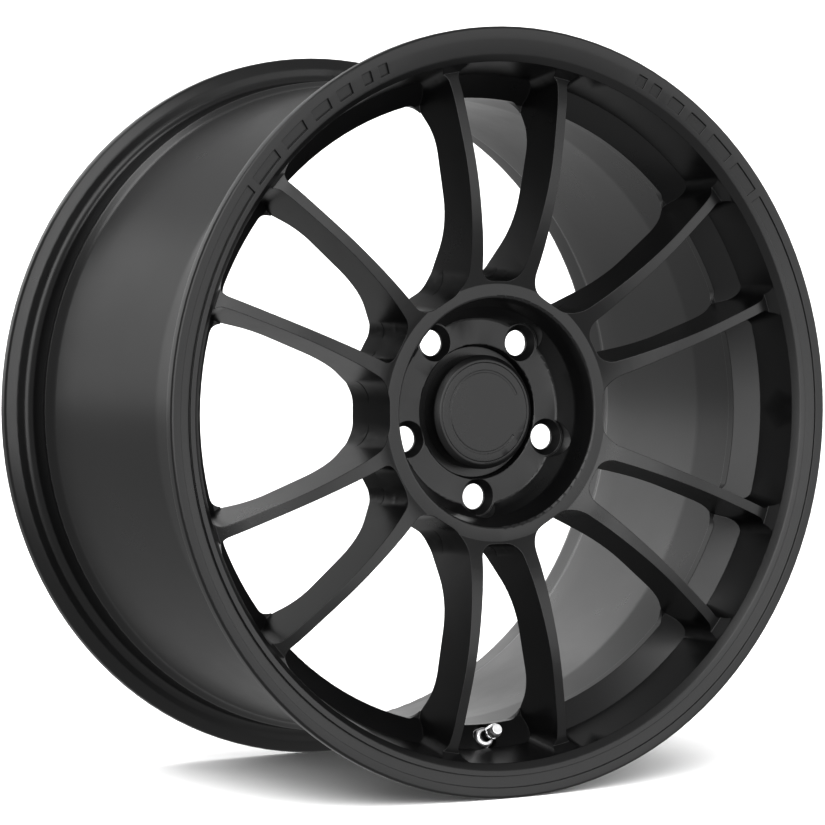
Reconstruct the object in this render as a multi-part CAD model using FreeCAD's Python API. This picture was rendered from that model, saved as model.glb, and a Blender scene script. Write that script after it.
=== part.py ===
import FreeCAD, Part
import math
import os

from FreeCAD import Vector

# One-piece forged road-racing wheel with its snap-in centre cap and its clamp-in tyre valve.
# Millimetres.  The wheel stands upright: spin axis along Y, outboard face towards -Y, +Z up.
# The origin is on the spin axis, half way between the two flange faces.

# ---- main sizes --------------------------------------------------------------------------------
rim_width_between_flanges = 241.3
flange_inner = rim_width_between_flanges / 2.0
flange_thickness = 10.75
flange_face = flange_inner + flange_thickness
bead_seat_radius = 231.0
flange_radius = bead_seat_radius + 17.5
drop_centre_radius = bead_seat_radius - 17.0
drop_centre_start = flange_inner - 58.65
drop_centre_end = flange_inner - 81.65
barrel_wall = 5.6

# ---- hub ---------------------------------------------------------------------------------------
mount_offset = 66.0
bolt_circle_radius = 56.0
bolt_count = 5
hub_bore_radius = 33.3
hub_recess_radius = bolt_circle_radius + 18.9
hub_recess_kink_radius = hub_recess_radius - 5.3
hub_recess_kink_depth = mount_offset + 26.0
hub_pad_radius = bolt_circle_radius + 5.7
hub_pad_depth = mount_offset + 15.0
hub_edge_radius = hub_recess_radius + 9.1
hub_back_radius = hub_recess_radius + 15.1

# ---- spokes and windows ------------------------------------------------------------------------
spoke_pairs = 6
spoke_crown_depth = flange_inner + 5.35
spoke_hub_drop = 19.4
spoke_rim_drop = 9.0
spoke_back_rise = 30.0
spoke_middle_radius = (bead_seat_radius + 89.0) / 2.0
narrow_window_half_angle = 10.1
narrow_window_inner_radius = hub_edge_radius
narrow_window_inner_corner = 14.0
narrow_window_rear_corner = 7.5
wide_window_inner_radius = hub_edge_radius - 4.0
wide_window_half_width_inner = 19.8
wide_window_side_slope = 0.3777
wide_window_inner_corner = 23.0
wide_window_rear_corner = 14.0
window_outer_corner = 9.0
window_outer_radius = bead_seat_radius - 4.4
window_wall_slope = 0.23
window_draft = 0.095
window_inner_end_draft = 0.11
window_reference_depth = 122.0
window_split_depth = flange_inner - 58.65
ledge_front = (bead_seat_radius - 10.7, flange_inner - 24.05)
ledge_back = (drop_centre_radius - 8.1, flange_inner - 35.65)
rim_root_depth = flange_inner - 43.65
clear_outside = bead_seat_radius + 31.0
clear_in_front = flange_face + 28.6
clear_behind = mount_offset - 26.0

# ---- lug holes ---------------------------------------------------------------------------------
lug_neck_radius = 8.5
lug_mouth_radius = 12.1
lug_neck_depth = mount_offset + 10.0
lug_relief_depth = mount_offset + 8.0
lug_relief_radius = 13.4
lug_scallop_radius = 13.4

# ---- grooves in the outer lip ------------------------------------------------------------------
lip_groove_inner = flange_radius - 14.2
lip_groove_outer = flange_radius - 6.9
lip_groove_depth = 1.1
lip_step = 0.9
long_groove_end_angle = 36.7
groove_mirror_angle = 180.8
long_groove_far_angle = groove_mirror_angle - long_groove_end_angle
short_groove_ends = [(38.1, 43.6), (45.3, 50.0), (51.9, 55.4), (57.1, 59.8), (62.1, 63.8), (65.2, 66.9)]

# ---- centre cap --------------------------------------------------------------------------------
cap_radius = hub_bore_radius + 4.2
cap_face_depth = mount_offset + 24.0
cap_plate = 1.8
cap_wall = 2.1
cap_pocket_radius = cap_radius + 6.0
cap_pocket_depth = mount_offset + 9.0
cap_bore_radius = hub_bore_radius + 1.0
cap_bore_end = mount_offset + 4.6
medallion_radius = cap_radius - 4.9
medallion_thickness = 1.2
medallion_gap = 0.1
medallion_line_inner = 26.0
medallion_line_outer = 27.6
medallion_line_depth = 0.25
medallion_line_start = 25.0
medallion_line_end = 325.0
snap_ring_radius = cap_bore_radius - 0.4
snap_wire_radius = 0.78
snap_ring_sweep = 348.0
snap_ring_depth = mount_offset + 6.8
snap_groove_width = 1.7
snap_groove_depth = 0.9
snap_tube_end = mount_offset + 5.0
snap_tube_clearance = 0.2
snap_tube_wall = 1.9

# ---- tyre valve --------------------------------------------------------------------------------
valve_seat_radius = bead_seat_radius - 14.3
valve_seat_depth = flange_inner - 37.85
valve_tilt = 24.0
valve_wall = 7.0
valve_reach = 30.0
stem_radius = 3.85
stem_length_out = 22.4
stem_flange_radius = stem_radius + 4.15
stem_flange_top = 9.6
stem_flange_bottom = 12.5
valve_hole_radius = stem_radius + 1.9
valve_pocket_radius = valve_hole_radius + 3.25
outer_grommet_radius = stem_radius + 4.35
outer_grommet_top = 2.3
washer_radius = stem_radius + 3.35
washer_top = outer_grommet_top + 1.0
valve_nut_across = 2.0 * stem_radius + 4.9
valve_nut_top = washer_top + 5.7
valve_cap_radius = stem_radius + 0.85
valve_cap_start = 16.0
valve_cap_end = 25.0
valve_cap_sides = 8
seal_thickness = 0.9

# ---- valve core, a standard size ---------------------------------------------------------------
core_bore_radius = 2.6
core_lower_bore_radius = 2.0
core_exit_radius = 1.6
core_seat_height = 11.4
core_exit_height = 3.6
core_plug_start = 16.5
core_plug_end = 20.9
core_pin_radius = 0.45
core_pin_hole = 0.95
core_barrel_radius = 1.75
core_barrel_start = 5.2
core_cup_start = 3.4
core_cup_floor = 4.3
core_spring_start = 2.9

AXIS = Vector(0, 1, 0)
ORIGIN = Vector(0, 0, 0)

os.makedirs("parts", exist_ok=True)


# ---- small helpers -----------------------------------------------------------------------------
def rounded_edges(points):
    """Edges of a closed outline; each point is (radius, depth) or (radius, depth, corner radius)."""
    count = len(points)
    starts = []
    ends = []
    arcs = []
    for index in range(count):
        here = points[index]
        corner = Vector(here[0], here[1], 0)
        before = points[index - 1]
        after = points[(index + 1) % count]
        if len(here) < 3:
            starts.append(corner)
            ends.append(corner)
            arcs.append(None)
            continue
        to_before = (Vector(before[0], before[1], 0) - corner).normalize()
        to_after = (Vector(after[0], after[1], 0) - corner).normalize()
        half = to_before.getAngle(to_after) / 2.0
        reach = here[2] / math.tan(half)
        middle = (to_before + to_after).normalize()
        centre = corner + middle * (here[2] / math.sin(half))
        near = centre - middle * here[2]
        first = corner + to_before * reach
        last = corner + to_after * reach
        starts.append(first)
        ends.append(last)
        arcs.append(Part.Arc(first, near, last).toShape())
    edges = []
    for index in range(count):
        if arcs[index]:
            edges.append(arcs[index])
        following = (index + 1) % count
        if (starts[following] - ends[index]).Length > 1e-4:
            edges.append(Part.makeLine(ends[index], starts[following]))
    return edges


def turned(points):
    """Solid of revolution about the spin axis from an outline of (radius, y) points."""
    wire = Part.Wire(Part.__sortEdges__(rounded_edges(points)))
    return Part.Face(wire).revolve(ORIGIN, AXIS, 360)


def turned_part(points, start_angle, end_angle):
    """The same, through part of a turn; angles are seen from the front, from +X towards +Z."""
    wire = Part.Wire(Part.__sortEdges__(rounded_edges(points)))
    face = Part.Face(wire)
    face.rotate(ORIGIN, AXIS, -end_angle)
    return face.revolve(ORIGIN, AXIS, end_angle - start_angle)


def spun(shape, angle):
    """Copy turned about the spin axis, seen from the front, from +X towards +Z."""
    copy = shape.copy()
    copy.rotate(ORIGIN, AXIS, -angle)
    return copy


def rod(radius, start, end, centre=(0.0, 0.0)):
    """Cylinder along Y between two y values; centre is (x, z)."""
    return Part.makeCylinder(radius, end - start, Vector(centre[0], start, centre[1]), AXIS)


def save(node, shape):
    shape.exportStep("parts/" + node + ".step")


# ---- the forging -------------------------------------------------------------------------------
def forging_section():
    """Half section of rim and disc before the windows are cut, as one closed face."""
    crown = -spoke_crown_depth
    well = drop_centre_radius
    inner_well = well - barrel_wall
    front = -flange_face
    seat = bead_seat_radius
    side = flange_inner
    groove_front = -snap_ring_depth - snap_groove_width / 2.0
    groove_back = -snap_ring_depth + snap_groove_width / 2.0
    groove_radius = cap_bore_radius + snap_groove_depth
    back_side = [
        (hub_bore_radius, -mount_offset),
        (hub_back_radius, -mount_offset, 12.0),
        (hub_back_radius + 36.0, crown + spoke_back_rise + 0.5, 55.0),
        (seat - 47.0, crown + spoke_back_rise, 34.0),
        (inner_well, -rim_root_depth),
        (inner_well, -drop_centre_end, 60.0),
        (seat - 10.6, side - 29.6, 9.0),
        (seat - 6.0, side - 21.0, 7.0),
        (seat - 5.2, side - 3.0, 9.0),
        (seat + 3.2, flange_face, 1.6),
        (flange_radius, flange_face, 2.0),
        (flange_radius, side + 3.2, 2.4),
        (seat + 10.0, side, 6.0),
        (seat, side, 6.0),
        (seat - 1.6, side - 18.0, 4.0),
        (seat - 0.4, side - 22.5, 3.5),
        (seat - 5.0, side - 28.5, 8.0),
        (well, -drop_centre_end, 60.0),
        (well, -drop_centre_start, 14.0),
        (seat - 1.6, -side + 28.5, 8.0),
        (seat - 0.4, -side + 23.0, 3.0),
        (seat - 1.6, -side + 18.5, 4.0),
        (seat, -side, 6.0),
        (seat + 10.0, -side, 6.0),
        (flange_radius, -side - 3.2, 2.4),
        (flange_radius, front, 1.6),
        (flange_radius - 7.0, front + lip_step, 30.0),
        (seat - 0.4, front + 3.4, 2.2),
        (window_outer_radius, front + 7.6, 1.2),
        (seat - 9.0, crown + spoke_rim_drop),
    ]
    hub_side = [
        (hub_edge_radius, crown + spoke_hub_drop),
        (hub_recess_radius, crown + spoke_hub_drop - 0.4, 2.2),
        (hub_recess_kink_radius, -hub_recess_kink_depth, 9.0),
        (hub_pad_radius, -hub_pad_depth, 2.4),
        (cap_pocket_radius + 0.6, -hub_pad_depth, 1.0),
        (cap_pocket_radius, -cap_pocket_depth, 0.8),
        (cap_bore_radius, -cap_pocket_depth),
        (cap_bore_radius, groove_front),
        (groove_radius, groove_front),
        (groove_radius, groove_back),
        (cap_bore_radius, groove_back),
        (cap_bore_radius, -cap_bore_end),
        (hub_bore_radius, -cap_bore_end),
    ]
    points = back_side + hub_side
    edges = rounded_edges(points)
    crown_points = [(seat - 9.0, spoke_rim_drop), (seat - 21.0, 4.9), (seat - 36.0, 2.7),
                    (spoke_middle_radius, 0.0), (spoke_middle_radius - 30.0, 2.9),
                    (hub_edge_radius + 21.0, 9.2), (hub_edge_radius, spoke_hub_drop)]
    spline = Part.BSplineCurve()
    spline.interpolate([Vector(radius, crown + drop, 0) for radius, drop in crown_points])
    first = Vector(seat - 9.0, crown + spoke_rim_drop, 0)
    last = Vector(hub_edge_radius, crown + spoke_hub_drop, 0)
    kept = []
    for edge in edges:
        ends = [vertex.Point for vertex in edge.Vertexes]
        straight = min((ends[0] - first).Length + (ends[-1] - last).Length,
                       (ends[0] - last).Length + (ends[-1] - first).Length)
        if straight > 1e-3:
            kept.append(edge)
    kept.append(spline.toShape())
    wire = Part.Wire(Part.__sortEdges__(kept))
    return Part.Face(wire)


def window_plan(kind, depth):
    """Four plan corners (along, across) of one window at a depth measured outboard from mid-width."""
    narrowing = (window_reference_depth - depth) * window_draft
    sinking = (window_reference_depth - depth) * window_inner_end_draft
    if kind == "narrow":
        slope = math.tan(math.radians(narrow_window_half_angle))
        start = narrow_window_inner_radius
        half = start * slope
    else:
        slope = wide_window_side_slope
        start = wide_window_inner_radius
        half = wide_window_half_width_inner
    shift = narrowing * math.sqrt(1.0 + slope * slope)
    inner = start + sinking
    inner_half = half + slope * sinking - shift
    outer = clear_outside
    outer_half = half + slope * (outer - start) - shift
    return [(inner, -inner_half), (outer, -outer_half), (outer, outer_half), (inner, inner_half)]


def window_block(kind, shallow, deep):
    """Drafted block through the disc between two depths, pointing along +X."""
    wires = []
    for depth in (shallow, deep):
        corners = [Vector(along, -depth, across) for along, across in window_plan(kind, depth)]
        wires.append(Part.makePolygon(corners + [corners[0]]))
    return Part.makeLoft(wires, True, True)


def upright_edges(shape, low, high):
    """Edges running through the thickness whose middle lies between two radii."""
    found = []
    for edge in shape.Edges:
        box = edge.BoundBox
        middle = edge.valueAt((edge.FirstParameter + edge.LastParameter) / 2.0)
        radius = math.hypot(middle.x, middle.z)
        if box.YLength > 20.0 and low < radius < high:
            found.append(edge)
    return found


def round_inner_end(shape, kind):
    """Round the two hub-side corners of a window block, tighter at the back than at the front."""
    front = narrow_window_inner_corner if kind == "narrow" else wide_window_inner_corner
    back = narrow_window_rear_corner if kind == "narrow" else wide_window_rear_corner
    for side in (-1, 1):
        corners = [edge for edge in upright_edges(shape, hub_edge_radius - 24.0, hub_edge_radius + 41.0)
                   if edge.BoundBox.Center.z * side > 3.0]
        corners.sort(key=lambda edge: edge.BoundBox.Center.x)
        edge = corners[0]
        starts_in_front = edge.Vertexes[0].Point.y < edge.Vertexes[-1].Point.y
        first, last = (front, back) if starts_in_front else (back, front)
        shape = shape.makeFillet(first, last, [edge])
    return shape


def window_cutter(kind):
    """Everything milled out for one window: the through cut and the wider cut over the ledge."""
    lip_edge = flange_face - 7.4
    split = window_split_depth
    start = hub_bore_radius - 3.3
    reach = window_outer_radius + (clear_in_front - lip_edge) * window_wall_slope
    shrunk = window_outer_radius - (lip_edge - split) * window_wall_slope
    upper_shape = [(start, -clear_in_front), (reach, -clear_in_front), (shrunk, -split), (start, -split)]
    upper = window_block(kind, clear_in_front, split).common(turned(upper_shape))
    outer_corners = upright_edges(upper, bead_seat_radius - 26.0, clear_outside)
    upper = upper.makeFillet(window_outer_corner, outer_corners)
    upper = round_inner_end(upper, kind)
    slope = (ledge_front[1] - ledge_back[1]) / (ledge_front[0] - ledge_back[0])
    outside = ledge_front[1] + (clear_outside - ledge_front[0]) * slope
    behind = ledge_back[1] - 1.5 * slope
    front = clear_in_front + 10.0
    ledge = [(start, -front), (clear_outside, -front), (clear_outside, -outside),
             (ledge_front[0], -ledge_front[1]), (ledge_back[0], -ledge_back[1]),
             (ledge_back[0] - 1.5, -behind), (start, -behind)]
    upper = upper.common(turned(ledge))
    rear = mount_offset - 20.0
    lower_shape = [(start, -clear_in_front), (ledge_back[0], -clear_in_front), (ledge_back[0], -rear),
                   (start, -rear)]
    lower = window_block(kind, clear_in_front, rear).common(turned(lower_shape))
    outer_corners = upright_edges(lower, ledge_back[0] - 16.0, ledge_back[0] + 34.0)
    lower = lower.makeFillet(window_outer_corner, outer_corners)
    lower = round_inner_end(lower, kind)
    return upper.fuse(lower)


def in_valve(shape):
    """Move a shape drawn along +Y, with the valve seat plane at zero, onto the tilted valve axis."""
    tilt = math.radians(valve_tilt)
    direction = Vector(0, -math.cos(tilt), math.sin(tilt))
    turn = FreeCAD.Rotation(AXIS, direction)
    move = FreeCAD.Placement(Vector(0, -valve_seat_depth, -valve_seat_radius), turn)
    return shape.transformed(move.toMatrix())


def valve_rod(radius, start, end):
    return in_valve(Part.makeCylinder(radius, end - start, Vector(0, start, 0), AXIS))


def hexagon(across, start, end):
    """Hexagonal bar along Y."""
    radius = across / math.sqrt(3.0)
    corners = [Vector(radius * math.cos(math.radians(60 * k)), start, radius * math.sin(math.radians(60 * k)))
               for k in range(6)]
    return Part.Face(Part.makePolygon(corners + [corners[0]])).extrude(Vector(0, end - start, 0))


def wheel_forging():
    """The whole one-piece wheel: rim, drop centre, six spoke pairs, hub."""
    body = forging_section().revolve(ORIGIN, AXIS, 360)
    cutters = []
    narrow = window_cutter("narrow")
    wide = window_cutter("wide")
    step = 360.0 / spoke_pairs
    for index in range(spoke_pairs):
        cutters.append(spun(narrow, 90.0 + step * index))
        cutters.append(spun(wide, 90.0 + step * (index + 0.5)))
    for cutter in cutters:
        body = body.cut(cutter)
    body = body.cut(valve_rod(valve_pocket_radius, 0.0, valve_reach))
    body = body.cut(valve_rod(valve_hole_radius, -valve_reach, valve_reach))
    body = body.cut(valve_rod(valve_pocket_radius, -valve_reach, -valve_wall))
    for index in range(bolt_count):
        angle = math.radians(-90.0 + 360.0 / bolt_count * index)
        centre = (bolt_circle_radius * math.cos(angle), bolt_circle_radius * math.sin(angle))
        body = body.cut(rod(lug_neck_radius, -clear_in_front, -clear_behind, centre))
        body = body.cut(rod(lug_relief_radius, -lug_relief_depth, -clear_behind, centre))
        body = body.cut(rod(lug_scallop_radius, -clear_in_front, -hub_pad_depth, centre))
        seat_at = Vector(centre[0], -hub_pad_depth, centre[1])
        seat = Part.makeCone(lug_mouth_radius, lug_neck_radius, hub_pad_depth - lug_neck_depth, seat_at, AXIS)
        body = body.cut(seat)
    floor = -flange_face + lip_step + lip_groove_depth
    groove = [(lip_groove_inner, -clear_in_front), (lip_groove_outer, -clear_in_front),
              (lip_groove_outer, floor), (lip_groove_inner, floor + 1.7)]
    body = body.cut(turned_part(groove, long_groove_far_angle - 360.0, long_groove_end_angle))
    for start, end in short_groove_ends:
        body = body.cut(turned_part(groove, start, end))
        body = body.cut(turned_part(groove, groove_mirror_angle - end, groove_mirror_angle - start))
    return body.removeSplitter()


# ---- centre cap --------------------------------------------------------------------------------
def cap_shell():
    """Moulded cap: face ring, tall skirt standing on the pocket floor, snap tube in the bore."""
    face = -cap_face_depth
    pocket = face + cap_plate
    plate = pocket + cap_plate
    tube = cap_bore_radius - snap_tube_clearance
    groove = snap_ring_radius - snap_wire_radius
    groove_front = -snap_ring_depth - snap_groove_width / 2.0
    groove_back = -snap_ring_depth + snap_groove_width / 2.0
    return turned([
        (0.0, pocket),
        (medallion_radius + medallion_gap, pocket),
        (medallion_radius + medallion_gap, face),
        (cap_radius - 3.2, face, 0.8),
        (cap_radius, face + 2.8, 1.0),
        (cap_radius, -cap_pocket_depth),
        (cap_radius - cap_wall, -cap_pocket_depth),
        (cap_radius - cap_wall, plate, 0.5),
        (tube, plate, 0.4),
        (tube, groove_front),
        (groove, groove_front),
        (groove, groove_back),
        (tube, groove_back),
        (tube - 0.4, -snap_tube_end, 0.3),
        (tube - snap_tube_wall, -snap_tube_end, 0.4),
        (tube - snap_tube_wall, plate, 0.7),
        (0.0, plate),
    ])


def cap_medallion():
    """Plain disc with one shallow C-shaped line."""
    face = -cap_face_depth
    floor = face + medallion_line_depth
    disc = turned([(0.0, face), (medallion_radius, face, 0.25), (medallion_radius, face + medallion_thickness),
                   (0.0, face + medallion_thickness)])
    line = [(medallion_line_inner, face - 1.0), (medallion_line_outer, face - 1.0),
            (medallion_line_outer, floor), (medallion_line_inner, floor)]
    return disc.cut(turned_part(line, medallion_line_start, medallion_line_end))


def cap_adhesive_pad():
    """Round of foam tape behind the medallion."""
    top = -cap_face_depth + medallion_thickness
    bottom = -cap_face_depth + cap_plate
    edge = medallion_radius - 0.6
    return turned([(0.0, top), (edge, top), (edge, bottom), (0.0, bottom)])


def cap_spring_ring():
    """Open ring of round spring wire in the groove of the snap tube."""
    middle = Vector(0, -snap_ring_depth, 0)
    ring = Part.makeTorus(snap_ring_radius, snap_wire_radius, middle, AXIS, 0, 360, snap_ring_sweep)
    return spun(ring, 90.0)


# ---- tyre valve, drawn along +Y with the seat plane at zero ------------------------------------
def valve_stem():
    """Metal stem with its flange on the tyre side and a stepped bore for the core."""
    return turned([
        (core_exit_radius, -stem_flange_bottom),
        (stem_flange_radius, -stem_flange_bottom, 0.7),
        (stem_flange_radius, -stem_flange_top, 0.6),
        (stem_radius, -stem_flange_top),
        (stem_radius, stem_length_out - 0.6),
        (stem_radius - 0.5, stem_length_out),
        (core_bore_radius, stem_length_out),
        (core_bore_radius, core_seat_height),
        (core_lower_bore_radius, core_seat_height - 0.8),
        (core_lower_bore_radius, -core_exit_height),
        (core_exit_radius, -core_exit_height),
    ])


def valve_inner_grommet():
    """Rubber seal on the tyre side, with a sleeve through the hole."""
    return turned([
        (stem_radius, -stem_flange_top),
        (stem_flange_radius - 0.3, -stem_flange_top, 0.7),
        (stem_flange_radius - 0.3, -valve_wall, 0.4),
        (valve_hole_radius, -valve_wall),
        (valve_hole_radius, -0.1),
        (stem_radius, -0.1),
    ])


def valve_outer_grommet():
    """Rubber ring under the washer."""
    return turned([(stem_radius, 0.0), (outer_grommet_radius, 0.0),
                   (outer_grommet_radius, outer_grommet_top, 0.9), (stem_radius, outer_grommet_top)])


def valve_washer():
    """Flat washer between the rubber ring and the nut."""
    hole = stem_radius + 0.1
    return turned([(hole, outer_grommet_top), (washer_radius, outer_grommet_top, 0.2),
                   (washer_radius, washer_top, 0.2), (hole, washer_top)])


def valve_nut():
    """Hexagon nut with well rounded corners."""
    blank = hexagon(valve_nut_across, washer_top, valve_nut_top)
    widest = valve_nut_across / 2.0 + 0.6
    envelope = turned([(stem_radius, washer_top), (widest, washer_top, 0.4), (widest, valve_nut_top - 2.0),
                       (widest - 0.8, valve_nut_top, 0.7), (stem_radius, valve_nut_top)])
    return blank.common(envelope)


def core_swivel():
    """Screw plug of the valve core, with a narrow bridge for the core tool."""
    plug = turned([(core_pin_hole, core_plug_start), (core_bore_radius, core_plug_start),
                   (core_bore_radius, core_plug_end, 0.3), (core_pin_hole, core_plug_end)])
    bridge_start = core_plug_end - 2.2
    for side in (-1, 1):
        block = Part.makeBox(3.0, 3.0, 6.0, Vector(-1.5 + side * core_bore_radius, bridge_start, -3.0))
        plug = plug.cut(block)
    return plug


def core_barrel():
    """Barrel that seals in the taper of the stem and guides the pin."""
    shoulder = core_seat_height + 1.5
    return turned([(core_pin_hole, core_barrel_start), (core_barrel_radius, core_barrel_start),
                   (core_barrel_radius, shoulder), (core_barrel_radius + 0.6, shoulder + 0.5),
                   (core_barrel_radius + 0.6, core_plug_start), (core_pin_hole, core_plug_start)])


def core_barrel_gasket():
    """Tapered seal round the barrel."""
    narrow = core_lower_bore_radius - 0.02
    wide = core_bore_radius - 0.15
    return turned([(core_barrel_radius, core_seat_height - 1.2), (narrow, core_seat_height - 1.2),
                   (narrow, core_seat_height - 0.8), (wide, core_seat_height - 0.1),
                   (wide, core_seat_height + 1.3), (core_barrel_radius, core_seat_height + 1.3)])


def core_pin():
    """Pin through the core, with a small head on its outer end."""
    head = core_plug_end + 0.3
    return turned([(0.0, -4.6), (core_pin_radius, -4.6), (core_pin_radius, head), (0.75, head),
                   (0.75, head + 0.7, 0.3), (0.0, head + 0.7)])


def core_cup():
    """Cup on the pin that holds the small seal."""
    rim = core_barrel_radius - 0.05
    return turned([(core_pin_radius, core_cup_start), (rim, core_cup_start, 0.2),
                   (rim, core_cup_floor + 0.6), (rim - 0.25, core_cup_floor + 0.6),
                   (rim - 0.25, core_cup_floor), (core_pin_radius, core_cup_floor)])


def core_cup_gasket():
    """Seal that closes the barrel from the tyre side."""
    edge = core_barrel_radius - 0.3
    return turned([(core_pin_radius, core_cup_floor), (edge, core_cup_floor),
                   (edge, core_barrel_start), (core_pin_radius, core_barrel_start)])


def core_spring():
    """Coil spring that pushes the cup back against the barrel."""
    wire_radius = 0.2
    coil_radius = 1.15
    low = -core_spring_start + wire_radius
    high = core_cup_start - wire_radius
    helix = Part.makeHelix((high - low) / 6.5, high - low, coil_radius)
    circle = Part.Wire(Part.makeCircle(wire_radius, Vector(coil_radius, 0, 0), Vector(0, 1, 0)))
    coil = Part.Wire(helix.Edges).makePipeShell([circle], True, True)
    coil.rotate(ORIGIN, Vector(1, 0, 0), -90)
    coil.translate(Vector(0, low, 0))
    return coil


def core_spring_cup():
    """Lower cup that carries the spring on the step of the stem bore."""
    low = -core_exit_height
    edge = core_lower_bore_radius - 0.05
    return turned([(core_pin_radius + 0.1, low), (edge, low), (edge, low + 1.5), (edge - 0.35, low + 1.5),
                   (edge - 0.35, -core_spring_start), (core_pin_radius + 0.1, -core_spring_start)])


def valve_cap():
    """Screw cap with an eight-sided nose."""
    inner = stem_radius + 0.05
    roof = stem_length_out + seal_thickness
    body = turned([
        (0.0, valve_cap_end),
        (valve_cap_radius - 1.2, valve_cap_end, 0.4),
        (valve_cap_radius, valve_cap_end - 2.3, 0.6),
        (valve_cap_radius, valve_cap_start + 0.6, 0.3),
        (valve_cap_radius - 0.4, valve_cap_start, 0.2),
        (inner, valve_cap_start),
        (inner, roof),
        (0.0, roof),
    ])
    for index in range(valve_cap_sides):
        corner = Vector(valve_cap_radius - 0.33, valve_cap_start + 2.2, -4.5)
        flat = Part.makeBox(2.0, 9.0, 9.0, corner)
        flat.rotate(ORIGIN, AXIS, 360.0 / valve_cap_sides * index)
        body = body.cut(flat)
    return body


def valve_cap_seal():
    """Rubber disc in the roof of the screw cap."""
    roof = stem_length_out + seal_thickness
    return turned([(0.0, stem_length_out), (stem_radius, stem_length_out), (stem_radius, roof), (0.0, roof)])


# ---- write every piece -------------------------------------------------------------------------
save("wheel_forging", wheel_forging())
save("cap_shell", cap_shell())
save("cap_medallion", cap_medallion())
save("cap_adhesive_pad", cap_adhesive_pad())
save("cap_spring_ring", cap_spring_ring())

valve_pieces = {
    "valve_stem": valve_stem(),
    "valve_inner_grommet": valve_inner_grommet(),
    "valve_outer_grommet": valve_outer_grommet(),
    "valve_washer": valve_washer(),
    "valve_nut": valve_nut(),
    "core_swivel": core_swivel(),
    "core_barrel": core_barrel(),
    "core_barrel_gasket": core_barrel_gasket(),
    "core_pin": core_pin(),
    "core_cup": core_cup(),
    "core_cup_gasket": core_cup_gasket(),
    "core_spring": core_spring(),
    "core_spring_cup": core_spring_cup(),
    "valve_cap": valve_cap(),
    "valve_cap_seal": valve_cap_seal(),
}
for node, piece in valve_pieces.items():
    save(node, in_valve(piece))
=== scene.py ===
import math

import bmesh
import bpy
from mathutils import Matrix, Vector


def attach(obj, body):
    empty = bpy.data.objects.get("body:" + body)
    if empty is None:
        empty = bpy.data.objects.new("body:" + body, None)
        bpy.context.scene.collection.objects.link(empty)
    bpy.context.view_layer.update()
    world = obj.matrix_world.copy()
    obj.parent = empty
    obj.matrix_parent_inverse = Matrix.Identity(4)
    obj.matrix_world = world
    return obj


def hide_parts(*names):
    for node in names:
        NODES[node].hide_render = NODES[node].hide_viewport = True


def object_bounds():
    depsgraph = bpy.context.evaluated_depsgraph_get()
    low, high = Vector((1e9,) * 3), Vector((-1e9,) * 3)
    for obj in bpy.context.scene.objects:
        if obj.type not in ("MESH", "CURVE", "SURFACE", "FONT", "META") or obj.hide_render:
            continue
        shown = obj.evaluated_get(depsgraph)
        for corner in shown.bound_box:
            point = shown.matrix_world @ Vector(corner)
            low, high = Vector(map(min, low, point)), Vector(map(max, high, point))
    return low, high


bl_info = {
    "name": "Forged wheel rim",
    "version": (1, 0, 0),
    "blender": (4, 5, 0),
    "location": "3D View > Sidebar > Wheel rim",
    "description": "Finishes, thread detail and studio for a forged six-pair-spoke wheel rim",
    "category": "Object",
}

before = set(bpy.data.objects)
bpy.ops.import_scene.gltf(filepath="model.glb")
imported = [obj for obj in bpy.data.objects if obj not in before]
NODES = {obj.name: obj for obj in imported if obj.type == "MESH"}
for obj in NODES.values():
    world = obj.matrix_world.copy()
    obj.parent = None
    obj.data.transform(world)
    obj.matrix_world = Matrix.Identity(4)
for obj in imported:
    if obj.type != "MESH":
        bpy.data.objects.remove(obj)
CAD_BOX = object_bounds()
FLOOR_LEVEL = CAD_BOX[0].z
SMOOTH_ANGLE = math.radians(24.0)
CORNER_ANGLE = math.radians(32.0)
FULL_TURN = 2.0 * math.pi

# ---- tyre valve: where its heights start, its direction out of the rim, and its sizes in metres --
VALVE_TILT = math.radians(24.0)
VALVE_SEAT = Vector((0.0, -0.0828, -0.2167))
VALVE_AXIS = Vector((0.0, -math.cos(VALVE_TILT), math.sin(VALVE_TILT)))
VALVE_STEPS = 96
STEM_RADIUS = 0.00385
STEM_TOP = 0.0224
STEM_TIP_CHAMFER = 0.0003
AIRWAY_RADIUS = 0.0016
CORE_BORE_RADIUS = 0.0020
CORE_BORE_END = -0.0036
CORE_SEAT_HEIGHT = 0.0106
CORE_MOUTH_RADIUS = 0.0026
CORE_MOUTH_HEIGHT = 0.0114
FOOT_RADIUS = 0.0080
FOOT_BOTTOM = -0.0125
FOOT_TOP = -0.0096
FOOT_BREAK = 0.0002
FOOT_LOWER_CORNER = 0.0007
FOOT_UPPER_CORNER = 0.0006
THREAD_RUN_IN = 0.0005
THREAD_MARGIN = 0.0014
THREAD_SLOPE_IN = 0.0004
TIP_SLOPE = 0.0005
NUT_BORE_RADIUS = 0.00387
NUT_RADIUS = 0.0069
NUT_FLAT_RADIUS = 0.0066
NUT_FLATS = 6
NUT_STEPS = 192
NUT_BOTTOM = 0.0033
NUT_SHOULDER = 0.0062
NUT_TOP = 0.009
NUT_EDGE = 0.0003
NUT_CROWN_DEPTH = 0.0021
NUT_CROWN_HEIGHT = 0.0027
NUT_CROWN_STEPS = 5
NUT_TOP_RADIUS = 0.0046


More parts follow.
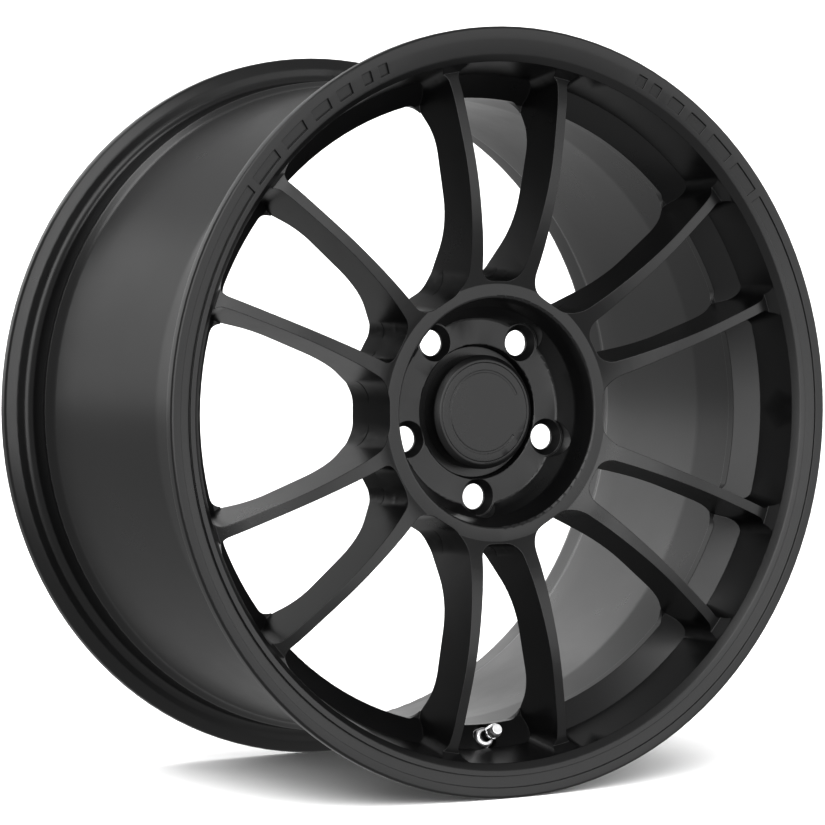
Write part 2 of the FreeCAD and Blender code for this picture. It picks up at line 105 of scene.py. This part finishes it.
# ---- sizes and colours a user may change -----------------------------------------------------
class PaintSettings(bpy.types.PropertyGroup):
    """Satin coat on the forging and on the moulded cap."""

    colour: bpy.props.FloatVectorProperty(
        name="Coat colour", description="Colour of the satin coat", subtype="COLOR", size=3,
        default=(0.0036, 0.0036, 0.0038), min=0.0, max=1.0)
    gloss_break: bpy.props.FloatProperty(
        name="Roughness", description="Roughness of the satin coat", default=0.3, min=0.1, max=1.0)
    peel_width: bpy.props.FloatProperty(
        name="Orange peel", description="Width of one dimple of the sprayed coat",
        default=0.0014, min=0.0002, max=0.01, unit="LENGTH", precision=4)
    edge_radius: bpy.props.FloatProperty(
        name="Edge radius", description="Radius by which the coat softens machined edges",
        default=0.0007, min=0.0, max=0.005, unit="LENGTH", precision=4)


class ThreadSettings(bpy.types.PropertyGroup):
    """Thread on the outer end of the valve stem."""

    pitch: bpy.props.FloatProperty(
        name="Pitch", description="Rise of the thread in one turn", default=0.00079375,
        min=0.0003, max=0.002, unit="LENGTH", precision=5)
    length: bpy.props.FloatProperty(
        name="Threaded length", description="Length of the stem that carries the thread",
        default=0.0125, min=0.002, max=0.03, unit="LENGTH", precision=4)
    crest_radius: bpy.props.FloatProperty(
        name="Crest radius", description="Outside radius of the thread", default=0.00383,
        min=0.001, max=0.01, unit="LENGTH", precision=5)
    depth: bpy.props.FloatProperty(
        name="Thread depth", description="Height of a thread above its root", default=0.00042,
        min=0.0001, max=0.002, unit="LENGTH", precision=5)


class StudioSettings(bpy.types.PropertyGroup):
    """Floor, lights and camera."""

    floor_colour: bpy.props.FloatVectorProperty(
        name="Floor colour", description="Colour of the plain floor and backdrop", subtype="COLOR", size=3,
        default=(0.86, 0.86, 0.86), min=0.0, max=1.0)
    ambient: bpy.props.FloatProperty(
        name="Ambient light", description="Strength of the even light from all round",
        default=0.65, min=0.0, max=5.0)
    key_power: bpy.props.FloatProperty(
        name="Key power",
        description="Power of the soft box in front, in watts; the others take shares of it",
        default=20.0, min=0.0, max=500.0)
    paper_light: bpy.props.FloatProperty(
        name="Paper light", description="Strength of the light that falls on the floor and backdrop alone",
        default=3.9, min=0.0, max=20.0)
    gamma: bpy.props.FloatProperty(
        name="Gamma", description="Gamma of the picture; less than one deepens the shadows",
        default=0.85, min=0.3, max=2.0)
    lens: bpy.props.FloatProperty(
        name="Focal length", description="Focal length of the camera in millimetres",
        default=131.45, min=10.0, max=300.0)
    distance: bpy.props.FloatProperty(
        name="Camera distance", description="Distance from the camera to the middle of the wheel",
        default=2.05305, min=0.5, max=10.0, unit="LENGTH")
    azimuth: bpy.props.FloatProperty(
        name="Azimuth", description="Turn of the camera round the upright axis",
        default=math.radians(-30.624), subtype="ANGLE")
    elevation: bpy.props.FloatProperty(
        name="Elevation", description="Height of the camera above the horizon",
        default=math.radians(1.358), subtype="ANGLE")
    offset_right: bpy.props.FloatProperty(
        name="Offset to the right", description="Sideways move of the camera from the line to the wheel",
        default=-0.00165, unit="LENGTH", precision=5)
    offset_up: bpy.props.FloatProperty(
        name="Offset upwards", description="Upward move of the camera from the line to the wheel",
        default=-0.0021, unit="LENGTH", precision=5)


# ---- node building ---------------------------------------------------------------------------
class Tap:
    """A node output. Arithmetic on it adds Math nodes to its tree."""

    def __init__(self, tree, socket):
        self.tree = tree
        self.socket = socket

    def _maths(self, operation, first, second):
        return add_node(self.tree, "ShaderNodeMath", {"operation": operation}, {0: first, 1: second})

    def __add__(self, other):
        return self._maths("ADD", self, other)

    def __radd__(self, other):
        return self._maths("ADD", other, self)

    def __sub__(self, other):
        return self._maths("SUBTRACT", self, other)

    def __rsub__(self, other):
        return self._maths("SUBTRACT", other, self)

    def __mul__(self, other):
        return self._maths("MULTIPLY", self, other)

    def __rmul__(self, other):
        return self._maths("MULTIPLY", other, self)


def add_node(tree, kind, settings=None, values=None, output=0):
    """Add one node, set its settings, fill or link its inputs, and return one output as a Tap."""
    node = tree.nodes.new(kind)
    for name, value in (settings or {}).items():
        setattr(node, name, value)
    for key, value in (values or {}).items():
        socket = node.inputs[key]
        if isinstance(value, Tap):
            tree.links.new(value.socket, socket)
        else:
            socket.default_value = value
    return Tap(tree, node.outputs[output])


def new_material(name):
    """Empty material with its tree, principled shader and object coordinates."""
    material = bpy.data.materials.new(name)
    material.use_nodes = True
    tree = material.node_tree
    shader = tree.nodes["Principled BSDF"]
    place = add_node(tree, "ShaderNodeTexCoord", output="Object")
    return material, tree, shader, place


def noise(tree, place, scale, detail=2.0, roughness=0.5):
    """Grey noise pattern with the given cells per metre."""
    return add_node(tree, "ShaderNodeTexNoise", {"noise_dimensions": "3D"},
                    {"Vector": place, "Scale": scale, "Detail": detail, "Roughness": roughness})


def spread(tree, value, low, high):
    """Map the middle of a noise pattern onto a range of values."""
    return add_node(tree, "ShaderNodeMapRange", {"clamp": True},
                    {"Value": value, "From Min": 0.3, "From Max": 0.7, "To Min": low, "To Max": high})


def blend(tree, factor, first, second):
    """Mix two colours."""
    return add_node(tree, "ShaderNodeMix", {"data_type": "RGBA"}, {0: factor, 6: first, 7: second}, 2)


def bump(tree, height, distance, strength=1.0, normal=None):
    """Bump from a height pattern."""
    values = {"Height": height, "Distance": distance, "Strength": strength}
    if normal is not None:
        values["Normal"] = normal
    return add_node(tree, "ShaderNodeBump", None, values)


def plug(tree, shader, name, tap):
    """Link a Tap into the shader."""
    tree.links.new(tap.socket, shader.inputs[name])


def opaque(rgb, gain=1.0):
    """Four-component colour from three."""
    return (rgb[0] * gain, rgb[1] * gain, rgb[2] * gain, 1.0)


# ---- finishes --------------------------------------------------------------------------------
# grain of each pattern, in cells per metre
GLOSS_PATCHES = 9.0
COAT_CLOUD = 55.0
DUST_SPECKS = 900.0
RUBBER_BLOOM = 420.0
RUBBER_GRAIN = 6500.0
METAL_SMEAR = 260.0
METAL_PITS = 5200.0
FOAM_CELLS = 1800.0
PAPER_FIBRE = 40.0
DUST_COLOUR = (0.016, 0.016, 0.0165)
WORN_EDGE_COLOUR = (0.011, 0.011, 0.0115)


def satin_coat(name, paint, gain=1.0, roughness_shift=0.0):
    """Sprayed satin coat: orange peel, faint patches of gloss, a little dust, softened edges."""
    material, tree, shader, place = new_material(name)
    softened = add_node(tree, "ShaderNodeBevel", {"samples": 6}, {"Radius": paint.edge_radius})
    sharp = add_node(tree, "ShaderNodeNewGeometry", output="Normal")
    alike = add_node(tree, "ShaderNodeVectorMath", {"operation": "DOT_PRODUCT"}, {0: softened, 1: sharp}, 1)
    worn = add_node(tree, "ShaderNodeMapRange", {"clamp": True},
                    {"Value": alike, "From Min": 0.995, "From Max": 0.8, "To Min": 0.0, "To Max": 1.0})
    patches = noise(tree, place, GLOSS_PATCHES, 3.0)
    cloud = noise(tree, place, COAT_CLOUD, 4.0)
    speck = noise(tree, place, DUST_SPECKS, 2.0)
    dust = add_node(tree, "ShaderNodeMapRange", {"clamp": True},
                    {"Value": speck, "From Min": 0.66, "From Max": 0.74, "To Min": 0.0, "To Max": 0.3})
    base = blend(tree, spread(tree, cloud, 0.0, 1.0), opaque(paint.colour, 0.92 * gain),
                 opaque(paint.colour, 1.08 * gain))
    dusty = blend(tree, dust, base, opaque(DUST_COLOUR, gain))
    edged = blend(tree, worn * 0.35, dusty, opaque(WORN_EDGE_COLOUR, gain))
    plug(tree, shader, "Base Color", edged)
    middle = paint.gloss_break + roughness_shift
    broad = spread(tree, patches, middle - 0.03, middle + 0.03)
    rough = broad + spread(tree, cloud, -0.012, 0.012) + dust * 0.2
    plug(tree, shader, "Roughness", rough)
    peel = noise(tree, place, 1.0 / paint.peel_width, 1.5)
    fine = noise(tree, place, 4.5 / paint.peel_width, 1.0)
    peeled = bump(tree, peel + fine * 0.35, 0.00002, 0.55, softened)
    plug(tree, shader, "Normal", peeled)
    shader.inputs["Specular IOR Level"].default_value = 0.5
    return material


def moulded_rubber(name, colour):
    """Matt rubber with a faint bloom."""
    material, tree, shader, place = new_material(name)
    cloud = noise(tree, place, RUBBER_BLOOM, 4.0)
    grain = noise(tree, place, RUBBER_GRAIN, 2.0)
    plug(tree, shader, "Base Color",
         blend(tree, spread(tree, cloud, 0.0, 1.0), opaque(colour, 0.75), opaque(colour, 1.35)))
    plug(tree, shader, "Roughness", spread(tree, grain, 0.55, 0.75))
    plug(tree, shader, "Normal", bump(tree, grain, 0.00004, 0.5))
    return material


def bright_metal(name, colour, roughness, turned_pitch=0.0, coat_tint=None):
    """Bare or plated metal with fine turning marks round its own axis and faint smears."""
    material, tree, shader, place = new_material(name)
    smear = noise(tree, place, METAL_SMEAR, 4.0)
    pit = noise(tree, place, METAL_PITS, 2.0)
    tint = coat_tint or colour
    plug(tree, shader, "Base Color",
         blend(tree, spread(tree, smear, 0.0, 1.0), opaque(colour), opaque(tint, 0.9)))
    shader.inputs["Metallic"].default_value = 1.0
    plug(tree, shader, "Roughness", spread(tree, smear, roughness * 0.7, roughness * 1.4))
    height = pit * 0.4
    if turned_pitch:
        along = add_node(tree, "ShaderNodeVectorMath", {"operation": "DOT_PRODUCT"},
                         {0: place, 1: tuple(VALVE_AXIS)}, 1)
        ring = add_node(tree, "ShaderNodeMath", {"operation": "SINE"},
                        {0: along * (FULL_TURN / turned_pitch)})
        height = height + ring * 0.5
    plug(tree, shader, "Normal", bump(tree, height, 0.000006, 0.6))
    return material


def foam_tape(name):
    """Dark closed-cell foam."""
    material, tree, shader, place = new_material(name)
    cells = add_node(tree, "ShaderNodeTexVoronoi", {"feature": "F1"}, {"Vector": place, "Scale": FOAM_CELLS})
    plug(tree, shader, "Base Color", blend(tree, cells, (0.03, 0.03, 0.03, 1.0), (0.12, 0.12, 0.12, 1.0)))
    plug(tree, shader, "Roughness", spread(tree, cells, 0.8, 0.95))
    plug(tree, shader, "Normal", bump(tree, cells, 0.0002, 0.6))
    return material


def plain_floor(name, colour):
    """Pale seamless paper."""
    material, tree, shader, place = new_material(name)
    fibre = noise(tree, place, PAPER_FIBRE, 5.0)
    plug(tree, shader, "Base Color",
         blend(tree, spread(tree, fibre, 0.0, 1.0), opaque(colour, 0.985), opaque(colour, 1.0)))
    shader.inputs["Roughness"].default_value = 0.9
    shader.inputs["Specular IOR Level"].default_value = 0.2
    return material


# ---- mesh building ---------------------------------------------------------------------------
def paint_node(name, material):
    """Give a carried-over node its finish."""
    piece = NODES[name]
    piece.data.materials.clear()
    piece.data.materials.append(material)


def link_piece(name, mesh, body, material):
    """Put a finished mesh into the scene on its body."""
    mesh.materials.clear()
    mesh.materials.append(material)
    piece = bpy.data.objects.new(name, mesh)
    bpy.context.scene.collection.objects.link(piece)
    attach(piece, body)
    return piece


def merged_copy(node, name, smooth_angle):
    """Copy of a node's mesh with its loose triangles joined and its creases found by angle."""
    build = bmesh.new()
    build.from_mesh(NODES[node].data)
    bmesh.ops.remove_doubles(build, verts=build.verts, dist=0.000004)
    bmesh.ops.dissolve_degenerate(build, edges=build.edges, dist=0.000002)
    for face in build.faces:
        face.smooth = True
    for edge in build.edges:
        edge.smooth = edge.is_manifold and edge.calc_face_angle(0.0) < smooth_angle
    mesh = bpy.data.meshes.new(name)
    build.to_mesh(mesh)
    build.free()
    return mesh


def turned_mesh(name, outline, steps, flats=0, flat_radius=0.0):
    """Solid of revolution about the valve axis from (radius, height) points, closed on itself.

    With flats, the outside is cut back to a regular bar of that many sides.
    """
    build = bmesh.new()
    side = VALVE_AXIS.orthogonal().normalized()
    across = VALVE_AXIS.cross(side)
    rings = []
    for radius, height in outline:
        ring = []
        for step in range(steps):
            angle = FULL_TURN * step / steps
            spoke = side * math.cos(angle) + across * math.sin(angle)
            reach = radius
            if flats:
                within = (angle + math.pi / flats) % (FULL_TURN / flats) - math.pi / flats
                reach = min(radius, flat_radius / math.cos(within))
            ring.append(build.verts.new(VALVE_SEAT + VALVE_AXIS * height + spoke * reach))
        rings.append(ring)
    for index, ring in enumerate(rings):
        following = rings[(index + 1) % len(rings)]
        for step in range(steps):
            after = (step + 1) % steps
            build.faces.new((ring[step], ring[after], following[after], following[step]))
    bmesh.ops.recalc_face_normals(build, faces=build.faces)
    for face in build.faces:
        face.smooth = True
    for edge in build.edges:
        edge.smooth = edge.calc_face_angle(0.0) < CORNER_ANGLE
    mesh = bpy.data.meshes.new(name)
    build.to_mesh(mesh)
    build.free()
    return mesh


def stem_outline(thread, start):
    """Half section of the stem: foot, plain shank, threaded end and the bore for the core."""
    root = thread.crest_radius - thread.depth * 1.5
    return [
        (AIRWAY_RADIUS, FOOT_BOTTOM), (FOOT_RADIUS - FOOT_LOWER_CORNER, FOOT_BOTTOM),
        (FOOT_RADIUS - FOOT_BREAK, FOOT_BOTTOM + FOOT_BREAK), (FOOT_RADIUS, FOOT_BOTTOM + FOOT_LOWER_CORNER),
        (FOOT_RADIUS, FOOT_TOP - FOOT_UPPER_CORNER), (FOOT_RADIUS - FOOT_BREAK, FOOT_TOP - FOOT_BREAK),
        (FOOT_RADIUS - FOOT_UPPER_CORNER, FOOT_TOP), (STEM_RADIUS, FOOT_TOP),
        (STEM_RADIUS, start - THREAD_SLOPE_IN),
        (root, start), (root, STEM_TOP - TIP_SLOPE), (root - STEM_TIP_CHAMFER, STEM_TOP),
        (CORE_MOUTH_RADIUS, STEM_TOP), (CORE_MOUTH_RADIUS, CORE_MOUTH_HEIGHT),
        (CORE_BORE_RADIUS, CORE_SEAT_HEIGHT), (CORE_BORE_RADIUS, CORE_BORE_END),
        (AIRWAY_RADIUS, CORE_BORE_END)]


def nut_outline():
    """Half section of the nut, with a rounded crown."""
    outline = [(NUT_BORE_RADIUS, NUT_BOTTOM), (NUT_RADIUS - NUT_EDGE, NUT_BOTTOM),
               (NUT_RADIUS, NUT_BOTTOM + NUT_EDGE), (NUT_RADIUS, NUT_SHOULDER)]
    for step in range(1, NUT_CROWN_STEPS + 1):
        angle = math.radians(15.0) * step
        outline.append((NUT_RADIUS - NUT_CROWN_DEPTH * (1.0 - math.cos(angle)),
                        NUT_SHOULDER + NUT_CROWN_HEIGHT * math.sin(angle)))
    return outline + [(NUT_TOP_RADIUS, NUT_TOP), (NUT_BORE_RADIUS, NUT_TOP)]


def geometry_tree(name, inputs):
    """Empty geometry tree with named inputs; returns the tree, its inputs and its end node."""
    tree = bpy.data.node_groups.new(name, "GeometryNodeTree")
    tree.interface.new_socket("Geometry", in_out="OUTPUT", socket_type="NodeSocketGeometry")
    for label, kind, value in inputs:
        socket = tree.interface.new_socket(label, in_out="INPUT", socket_type=kind)
        if value is not None:
            socket.default_value = value
    start = tree.nodes.new("NodeGroupInput")
    end = tree.nodes.new("NodeGroupOutput")
    taps = {label: Tap(tree, start.outputs[label]) for label, kind, value in inputs}
    return tree, taps, end


def grown_mesh(name, tree, values):
    """Run a geometry tree on an empty object and keep the result as a plain mesh."""
    holder = bpy.data.objects.new(name + "_holder", bpy.data.meshes.new(name + "_seed"))
    bpy.context.scene.collection.objects.link(holder)
    modifier = holder.modifiers.new("Grow", "NODES")
    modifier.node_group = tree
    for item in tree.interface.items_tree:
        if item.item_type == "SOCKET" and item.in_out == "INPUT" and item.name in values:
            modifier[item.identifier] = values[item.name]
    bpy.context.view_layer.update()
    evaluated = holder.evaluated_get(bpy.context.evaluated_depsgraph_get())
    mesh = bpy.data.meshes.new_from_object(evaluated)
    mesh.name = name
    holder.modifiers.clear()
    bpy.data.objects.remove(holder)
    return mesh


def thread_tree(material):
    """Helical ridge of three-sided section along +Z."""
    tree, taps, end = geometry_tree("Stem thread", [
        ("Pitch", "NodeSocketFloat", 0.0008),
        ("Turns", "NodeSocketFloat", 12.0),
        ("Crest Radius", "NodeSocketFloat", 0.0038),
        ("Depth", "NodeSocketFloat", 0.0004),
        ("Finish", "NodeSocketMaterial", None),
    ])
    middle = taps["Crest Radius"] - taps["Depth"]
    spiral = add_node(tree, "GeometryNodeCurveSpiral", None, {
        "Resolution": 48, "Rotations": taps["Turns"], "Start Radius": middle, "End Radius": middle,
        "Height": taps["Pitch"] * taps["Turns"]})
    upright = add_node(tree, "GeometryNodeSetCurveNormal", {"mode": "Z_UP"}, {"Curve": spiral})
    ridge = add_node(tree, "GeometryNodeCurvePrimitiveCircle", None,
                     {"Resolution": 3, "Radius": taps["Depth"]})
    turned = add_node(tree, "GeometryNodeTransform", None,
                      {"Geometry": ridge, "Rotation": (0.0, 0.0, math.radians(180.0))})
    body = add_node(tree, "GeometryNodeCurveToMesh", None,
                    {"Curve": upright, "Profile Curve": turned, "Fill Caps": True})
    real = add_node(tree, "GeometryNodeRealizeInstances", None, {"Geometry": body})
    done = add_node(tree, "GeometryNodeSetMaterial", None, {"Geometry": real, "Material": taps["Finish"]})
    tree.links.new(done.socket, end.inputs[0])
    return tree


# ---- operators -------------------------------------------------------------------------------
class RIM_OT_forging(bpy.types.Operator):
    """Coat the forged wheel and smooth its machined surfaces"""

    bl_idname = "rim.forging"
    bl_label = "Forged wheel"

    def execute(self, context):
        coat = satin_coat("satin_black_coat", context.scene.rim_paint)
        mesh = merged_copy("wheel_forging", "forged_wheel", SMOOTH_ANGLE)
        piece = link_piece("forged_wheel", mesh, "wheel", coat)
        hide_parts("wheel_forging")
        return {"FINISHED"}


class RIM_OT_centre_cap(bpy.types.Operator):
    """Finish the snap-in centre cap"""

    bl_idname = "rim.centre_cap"
    bl_label = "Centre cap"

    def execute(self, context):
        paint = context.scene.rim_paint
        # The moulding's copy of the coat is painted 5% darker all over: painted shade meant for the cap's
        # shadowed skirt.
        moulding = satin_coat("satin_moulding_painted_shade", paint, 0.95, 0.03)
        badge = satin_coat("satin_badge", paint, 1.1, -0.02)
        shell = link_piece("cap_moulding", merged_copy("cap_shell", "cap_moulding", SMOOTH_ANGLE),
                           "centre_cap", moulding)
        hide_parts("cap_shell")
        disc = link_piece("cap_badge_disc", merged_copy("cap_medallion", "cap_badge_disc", SMOOTH_ANGLE),
                          "centre_cap", badge)
        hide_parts("cap_medallion")
        paint_node("cap_adhesive_pad", foam_tape("grey_foam"))
        paint_node("cap_spring_ring", bright_metal("ring_spring_steel", (0.42, 0.42, 0.43), 0.3))
        return {"FINISHED"}


class RIM_OT_valve_body(bpy.types.Operator):
    """Build the threaded stem and finish the seals, washer and nut of the valve"""

    bl_idname = "rim.valve_body"
    bl_label = "Valve body"

    def execute(self, context):
        thread = context.scene.rim_thread
        black = bright_metal("black_passivated_metal", (0.022, 0.022, 0.024), 0.42, 0.0004)
        start = STEM_TOP - thread.length
        stem = turned_mesh("stem_body", stem_outline(thread, start), VALVE_STEPS)
        body = link_piece("stem_body", stem, "wheel", black)
        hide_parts("valve_stem")
        turns = (thread.length - THREAD_MARGIN) / thread.pitch
        helix = grown_mesh("stem_thread", thread_tree(black), {
            "Pitch": thread.pitch, "Turns": turns, "Crest Radius": thread.crest_radius,
            "Depth": thread.depth, "Finish": black})
        lean = Vector((0.0, 0.0, 1.0)).rotation_difference(VALVE_AXIS).to_matrix().to_4x4()
        place = Matrix.Translation(VALVE_SEAT + VALVE_AXIS * (start + THREAD_RUN_IN))
        helix.transform(place @ lean)
        link_piece("stem_thread", helix, "wheel", black)
        rubber = moulded_rubber("black_seal_rubber", (0.016, 0.016, 0.017))
        paint_node("valve_inner_grommet", rubber)
        paint_node("valve_outer_grommet", rubber)
        plated = bright_metal("satin_nickel_plate", (0.93, 0.93, 0.94), 0.42, 0.0003)
        paint_node("valve_washer", plated)
        nut = turned_mesh("stem_nut", nut_outline(), NUT_STEPS, NUT_FLATS, NUT_FLAT_RADIUS)
        nut_piece = link_piece("stem_nut", nut, "wheel", plated)
        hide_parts("valve_nut")
        return {"FINISHED"}


class RIM_OT_valve_core(bpy.types.Operator):
    """Finish the small parts of the valve core"""

    bl_idname = "rim.valve_core"
    bl_label = "Valve core"

    def execute(self, context):
        brass = bright_metal("turned_brass", (0.72, 0.52, 0.22), 0.22, 0.00025, (0.6, 0.4, 0.16))
        for name in ("core_swivel", "core_barrel", "core_pin", "core_cup", "core_spring_cup"):
            paint_node(name, brass)
        paint_node("core_spring", bright_metal("core_spring_steel", (0.55, 0.55, 0.56), 0.2))
        paint_node("core_barrel_gasket", moulded_rubber("red_core_seal", (0.4, 0.03, 0.025)))
        black = moulded_rubber("black_core_rubber", (0.02, 0.02, 0.02))
        paint_node("core_cup_gasket", black)
        paint_node("valve_cap_seal", black)
        return {"FINISHED"}


class RIM_OT_dust_cap(bpy.types.Operator):
    """Finish the screw cap of the valve"""

    bl_idname = "rim.dust_cap"
    bl_label = "Valve cap"

    def execute(self, context):
        plated = bright_metal("satin_nickel_cap", (0.94, 0.94, 0.95), 0.33, 0.00035)
        paint_node("valve_cap", plated)
        return {"FINISHED"}


class RIM_OT_studio(bpy.types.Operator):
    """Set up the floor, the lights and the camera"""

    bl_idname = "rim.studio"
    bl_label = "Studio"

    def execute(self, context):
        studio = context.scene.rim_studio
        paper = build_floor(plain_floor("seamless_paper", studio.floor_colour))
        paper_light(paper, studio.paper_light)
        build_world(context.scene, studio.ambient)
        for name, azimuth, elevation, share in SOFT_BOXES:
            soft_box(name, azimuth, elevation, share * studio.key_power)
        build_camera(context.scene, studio)
        context.scene.view_settings.view_transform = "Standard"
        context.scene.view_settings.gamma = studio.gamma
        return {"FINISHED"}


# ---- studio ----------------------------------------------------------------------------------
PAPER_REACH = 9.0
PAPER_TURN = math.radians(-30.6)
SWEEP_START = 3.0
SWEEP_RADIUS = 1.6
SWEEP_STEPS = 12
BACKDROP_HEIGHT = 7.0
PAPER_LIGHT_SPREAD = math.radians(70.0)
PAPER_LIGHT_TILT = math.radians(38.0)
BOX_DISTANCE = 2.6
BOX_SIZE = (1.5, 1.4)
SENSOR_WIDTH = 36.0
NEAR_CLIP = 0.05
FAR_CLIP = 50.0
# name, azimuth and elevation in degrees as the camera's, share of the key power
SOFT_BOXES = [
    ("front", 0.0, 5.0, 1.0),
    ("front_left", -30.0, 5.0, 1.0),
    ("front_right", 30.0, 5.0, 0.5),
    ("side_right", 60.0, 5.0, 0.5),
    ("front_high", -15.0, 35.0, 1.2),
    ("overhead_left", -120.0, 60.0, 1.3),
    ("back", 180.0, 15.0, 0.4),
    ("back_left", -150.0, 15.0, 0.3),
    ("back_right", 150.0, 10.0, 0.15),
]


def build_floor(material):
    """Flat floor that curves up into a backdrop behind the wheel."""
    profile = [(-PAPER_REACH, 0.0), (-SWEEP_START, 0.0), (SWEEP_START, 0.0)]
    for step in range(1, SWEEP_STEPS + 1):
        angle = math.radians(90.0 * step / SWEEP_STEPS)
        profile.append((SWEEP_START + SWEEP_RADIUS * math.sin(angle), SWEEP_RADIUS * (1.0 - math.cos(angle))))
    profile.append((SWEEP_START + SWEEP_RADIUS, BACKDROP_HEIGHT))
    turn = Matrix.Rotation(PAPER_TURN, 3, "Z")
    build = bmesh.new()
    rows = []
    for depth, height in profile:
        row = []
        for side in (-PAPER_REACH, PAPER_REACH):
            spot = turn @ Vector((side, depth, 0.0))
            row.append(build.verts.new((spot.x, spot.y, FLOOR_LEVEL + height)))
        rows.append(row)
    for near, far in zip(rows, rows[1:]):
        face = build.faces.new((near[0], near[1], far[1], far[0]))
        face.smooth = True
    mesh = bpy.data.meshes.new("studio_floor")
    build.to_mesh(mesh)
    build.free()
    mesh.materials.append(material)
    floor = bpy.data.objects.new("studio_floor", mesh)
    floor.visible_glossy = False
    floor.visible_diffuse = False
    group = bpy.data.collections.new("studio_paper")
    bpy.context.scene.collection.children.link(group)
    group.objects.link(floor)
    return group


def paper_light(paper, strength):
    """Broad light from over the camera that falls on the paper alone, so that the paper stays pale."""
    light = bpy.data.lights.new("paper_light", "SUN")
    light.energy = strength
    light.angle = PAPER_LIGHT_SPREAD
    lamp = bpy.data.objects.new("paper_light", light)
    lamp.rotation_euler = (PAPER_LIGHT_TILT, 0.0, PAPER_TURN)
    lamp.light_linking.receiver_collection = paper
    bpy.context.scene.collection.objects.link(lamp)


def build_world(scene, strength):
    """Even white light from all round."""
    world = bpy.data.worlds.new("studio_light")
    world.use_nodes = True
    background = world.node_tree.nodes["Background"]
    background.inputs["Color"].default_value = (1.0, 1.0, 1.0, 1.0)
    background.inputs["Strength"].default_value = strength
    scene.world = world


def direction(azimuth, elevation):
    """Unit vector from the wheel towards that azimuth and elevation, both in radians."""
    level = math.cos(elevation)
    return Vector((math.sin(azimuth) * level, -math.cos(azimuth) * level, math.sin(elevation)))


def soft_box(name, azimuth, elevation, power):
    """Rectangular soft light that faces the wheel."""
    light = bpy.data.lights.new(name, "AREA")
    light.shape = "RECTANGLE"
    light.size = BOX_SIZE[0]
    light.size_y = BOX_SIZE[1]
    light.energy = power
    lamp = bpy.data.objects.new(name, light)
    back = direction(math.radians(azimuth), math.radians(elevation))
    lamp.location = back * BOX_DISTANCE
    lamp.rotation_euler = back.to_track_quat("Z", "Y").to_euler()
    lamp.visible_camera = False
    bpy.context.scene.collection.objects.link(lamp)


def build_camera(scene, studio):
    """Long-lens camera a little to the left of the wheel's axis."""
    back = direction(studio.azimuth, studio.elevation)
    right = Vector((math.cos(studio.azimuth), math.sin(studio.azimuth), 0.0))
    up = back.cross(right)
    data = bpy.data.cameras.new("studio_camera")
    data.lens = studio.lens
    data.sensor_width = SENSOR_WIDTH
    data.clip_start = NEAR_CLIP
    data.clip_end = FAR_CLIP
    camera = bpy.data.objects.new("studio_camera", data)
    spot = back * studio.distance + right * studio.offset_right + up * studio.offset_up
    camera.matrix_world = Matrix((
        (right.x, up.x, back.x, spot.x), (right.y, up.y, back.y, spot.y),
        (right.z, up.z, back.z, spot.z), (0.0, 0.0, 0.0, 1.0)))
    scene.collection.objects.link(camera)
    scene.camera = camera


class RIM_PT_panel(bpy.types.Panel):
    """Panel that lists the steps and their settings"""

    bl_idname = "RIM_PT_panel"
    bl_label = "Wheel rim"
    bl_space_type = "VIEW_3D"
    bl_region_type = "UI"
    bl_category = "Wheel rim"

    def draw(self, context):
        scene = context.scene
        for group in (scene.rim_paint, scene.rim_thread, scene.rim_studio):
            box = self.layout.box()
            for name in group.__annotations__:
                box.prop(group, name)
        for operator in OPERATORS:
            self.layout.operator(operator.bl_idname)


OPERATORS = (RIM_OT_forging, RIM_OT_centre_cap, RIM_OT_valve_body, RIM_OT_valve_core, RIM_OT_dust_cap,
             RIM_OT_studio)
CLASSES = (PaintSettings, ThreadSettings, StudioSettings) + OPERATORS + (RIM_PT_panel,)


def register():
    """Register the classes and their settings."""
    for item in CLASSES:
        bpy.utils.register_class(item)
    bpy.types.Scene.rim_paint = bpy.props.PointerProperty(type=PaintSettings)
    bpy.types.Scene.rim_thread = bpy.props.PointerProperty(type=ThreadSettings)
    bpy.types.Scene.rim_studio = bpy.props.PointerProperty(type=StudioSettings)


def unregister():
    """Remove the classes and their settings."""
    del bpy.types.Scene.rim_studio
    del bpy.types.Scene.rim_thread
    del bpy.types.Scene.rim_paint
    for item in reversed(CLASSES):
        bpy.utils.unregister_class(item)


def main():
    """Build every piece."""
    register()
    bpy.ops.rim.forging()
    bpy.ops.rim.centre_cap()
    bpy.ops.rim.valve_body()
    bpy.ops.rim.valve_core()
    bpy.ops.rim.dust_cap()
    bpy.ops.rim.studio()


if __name__ == "__main__":
    main()
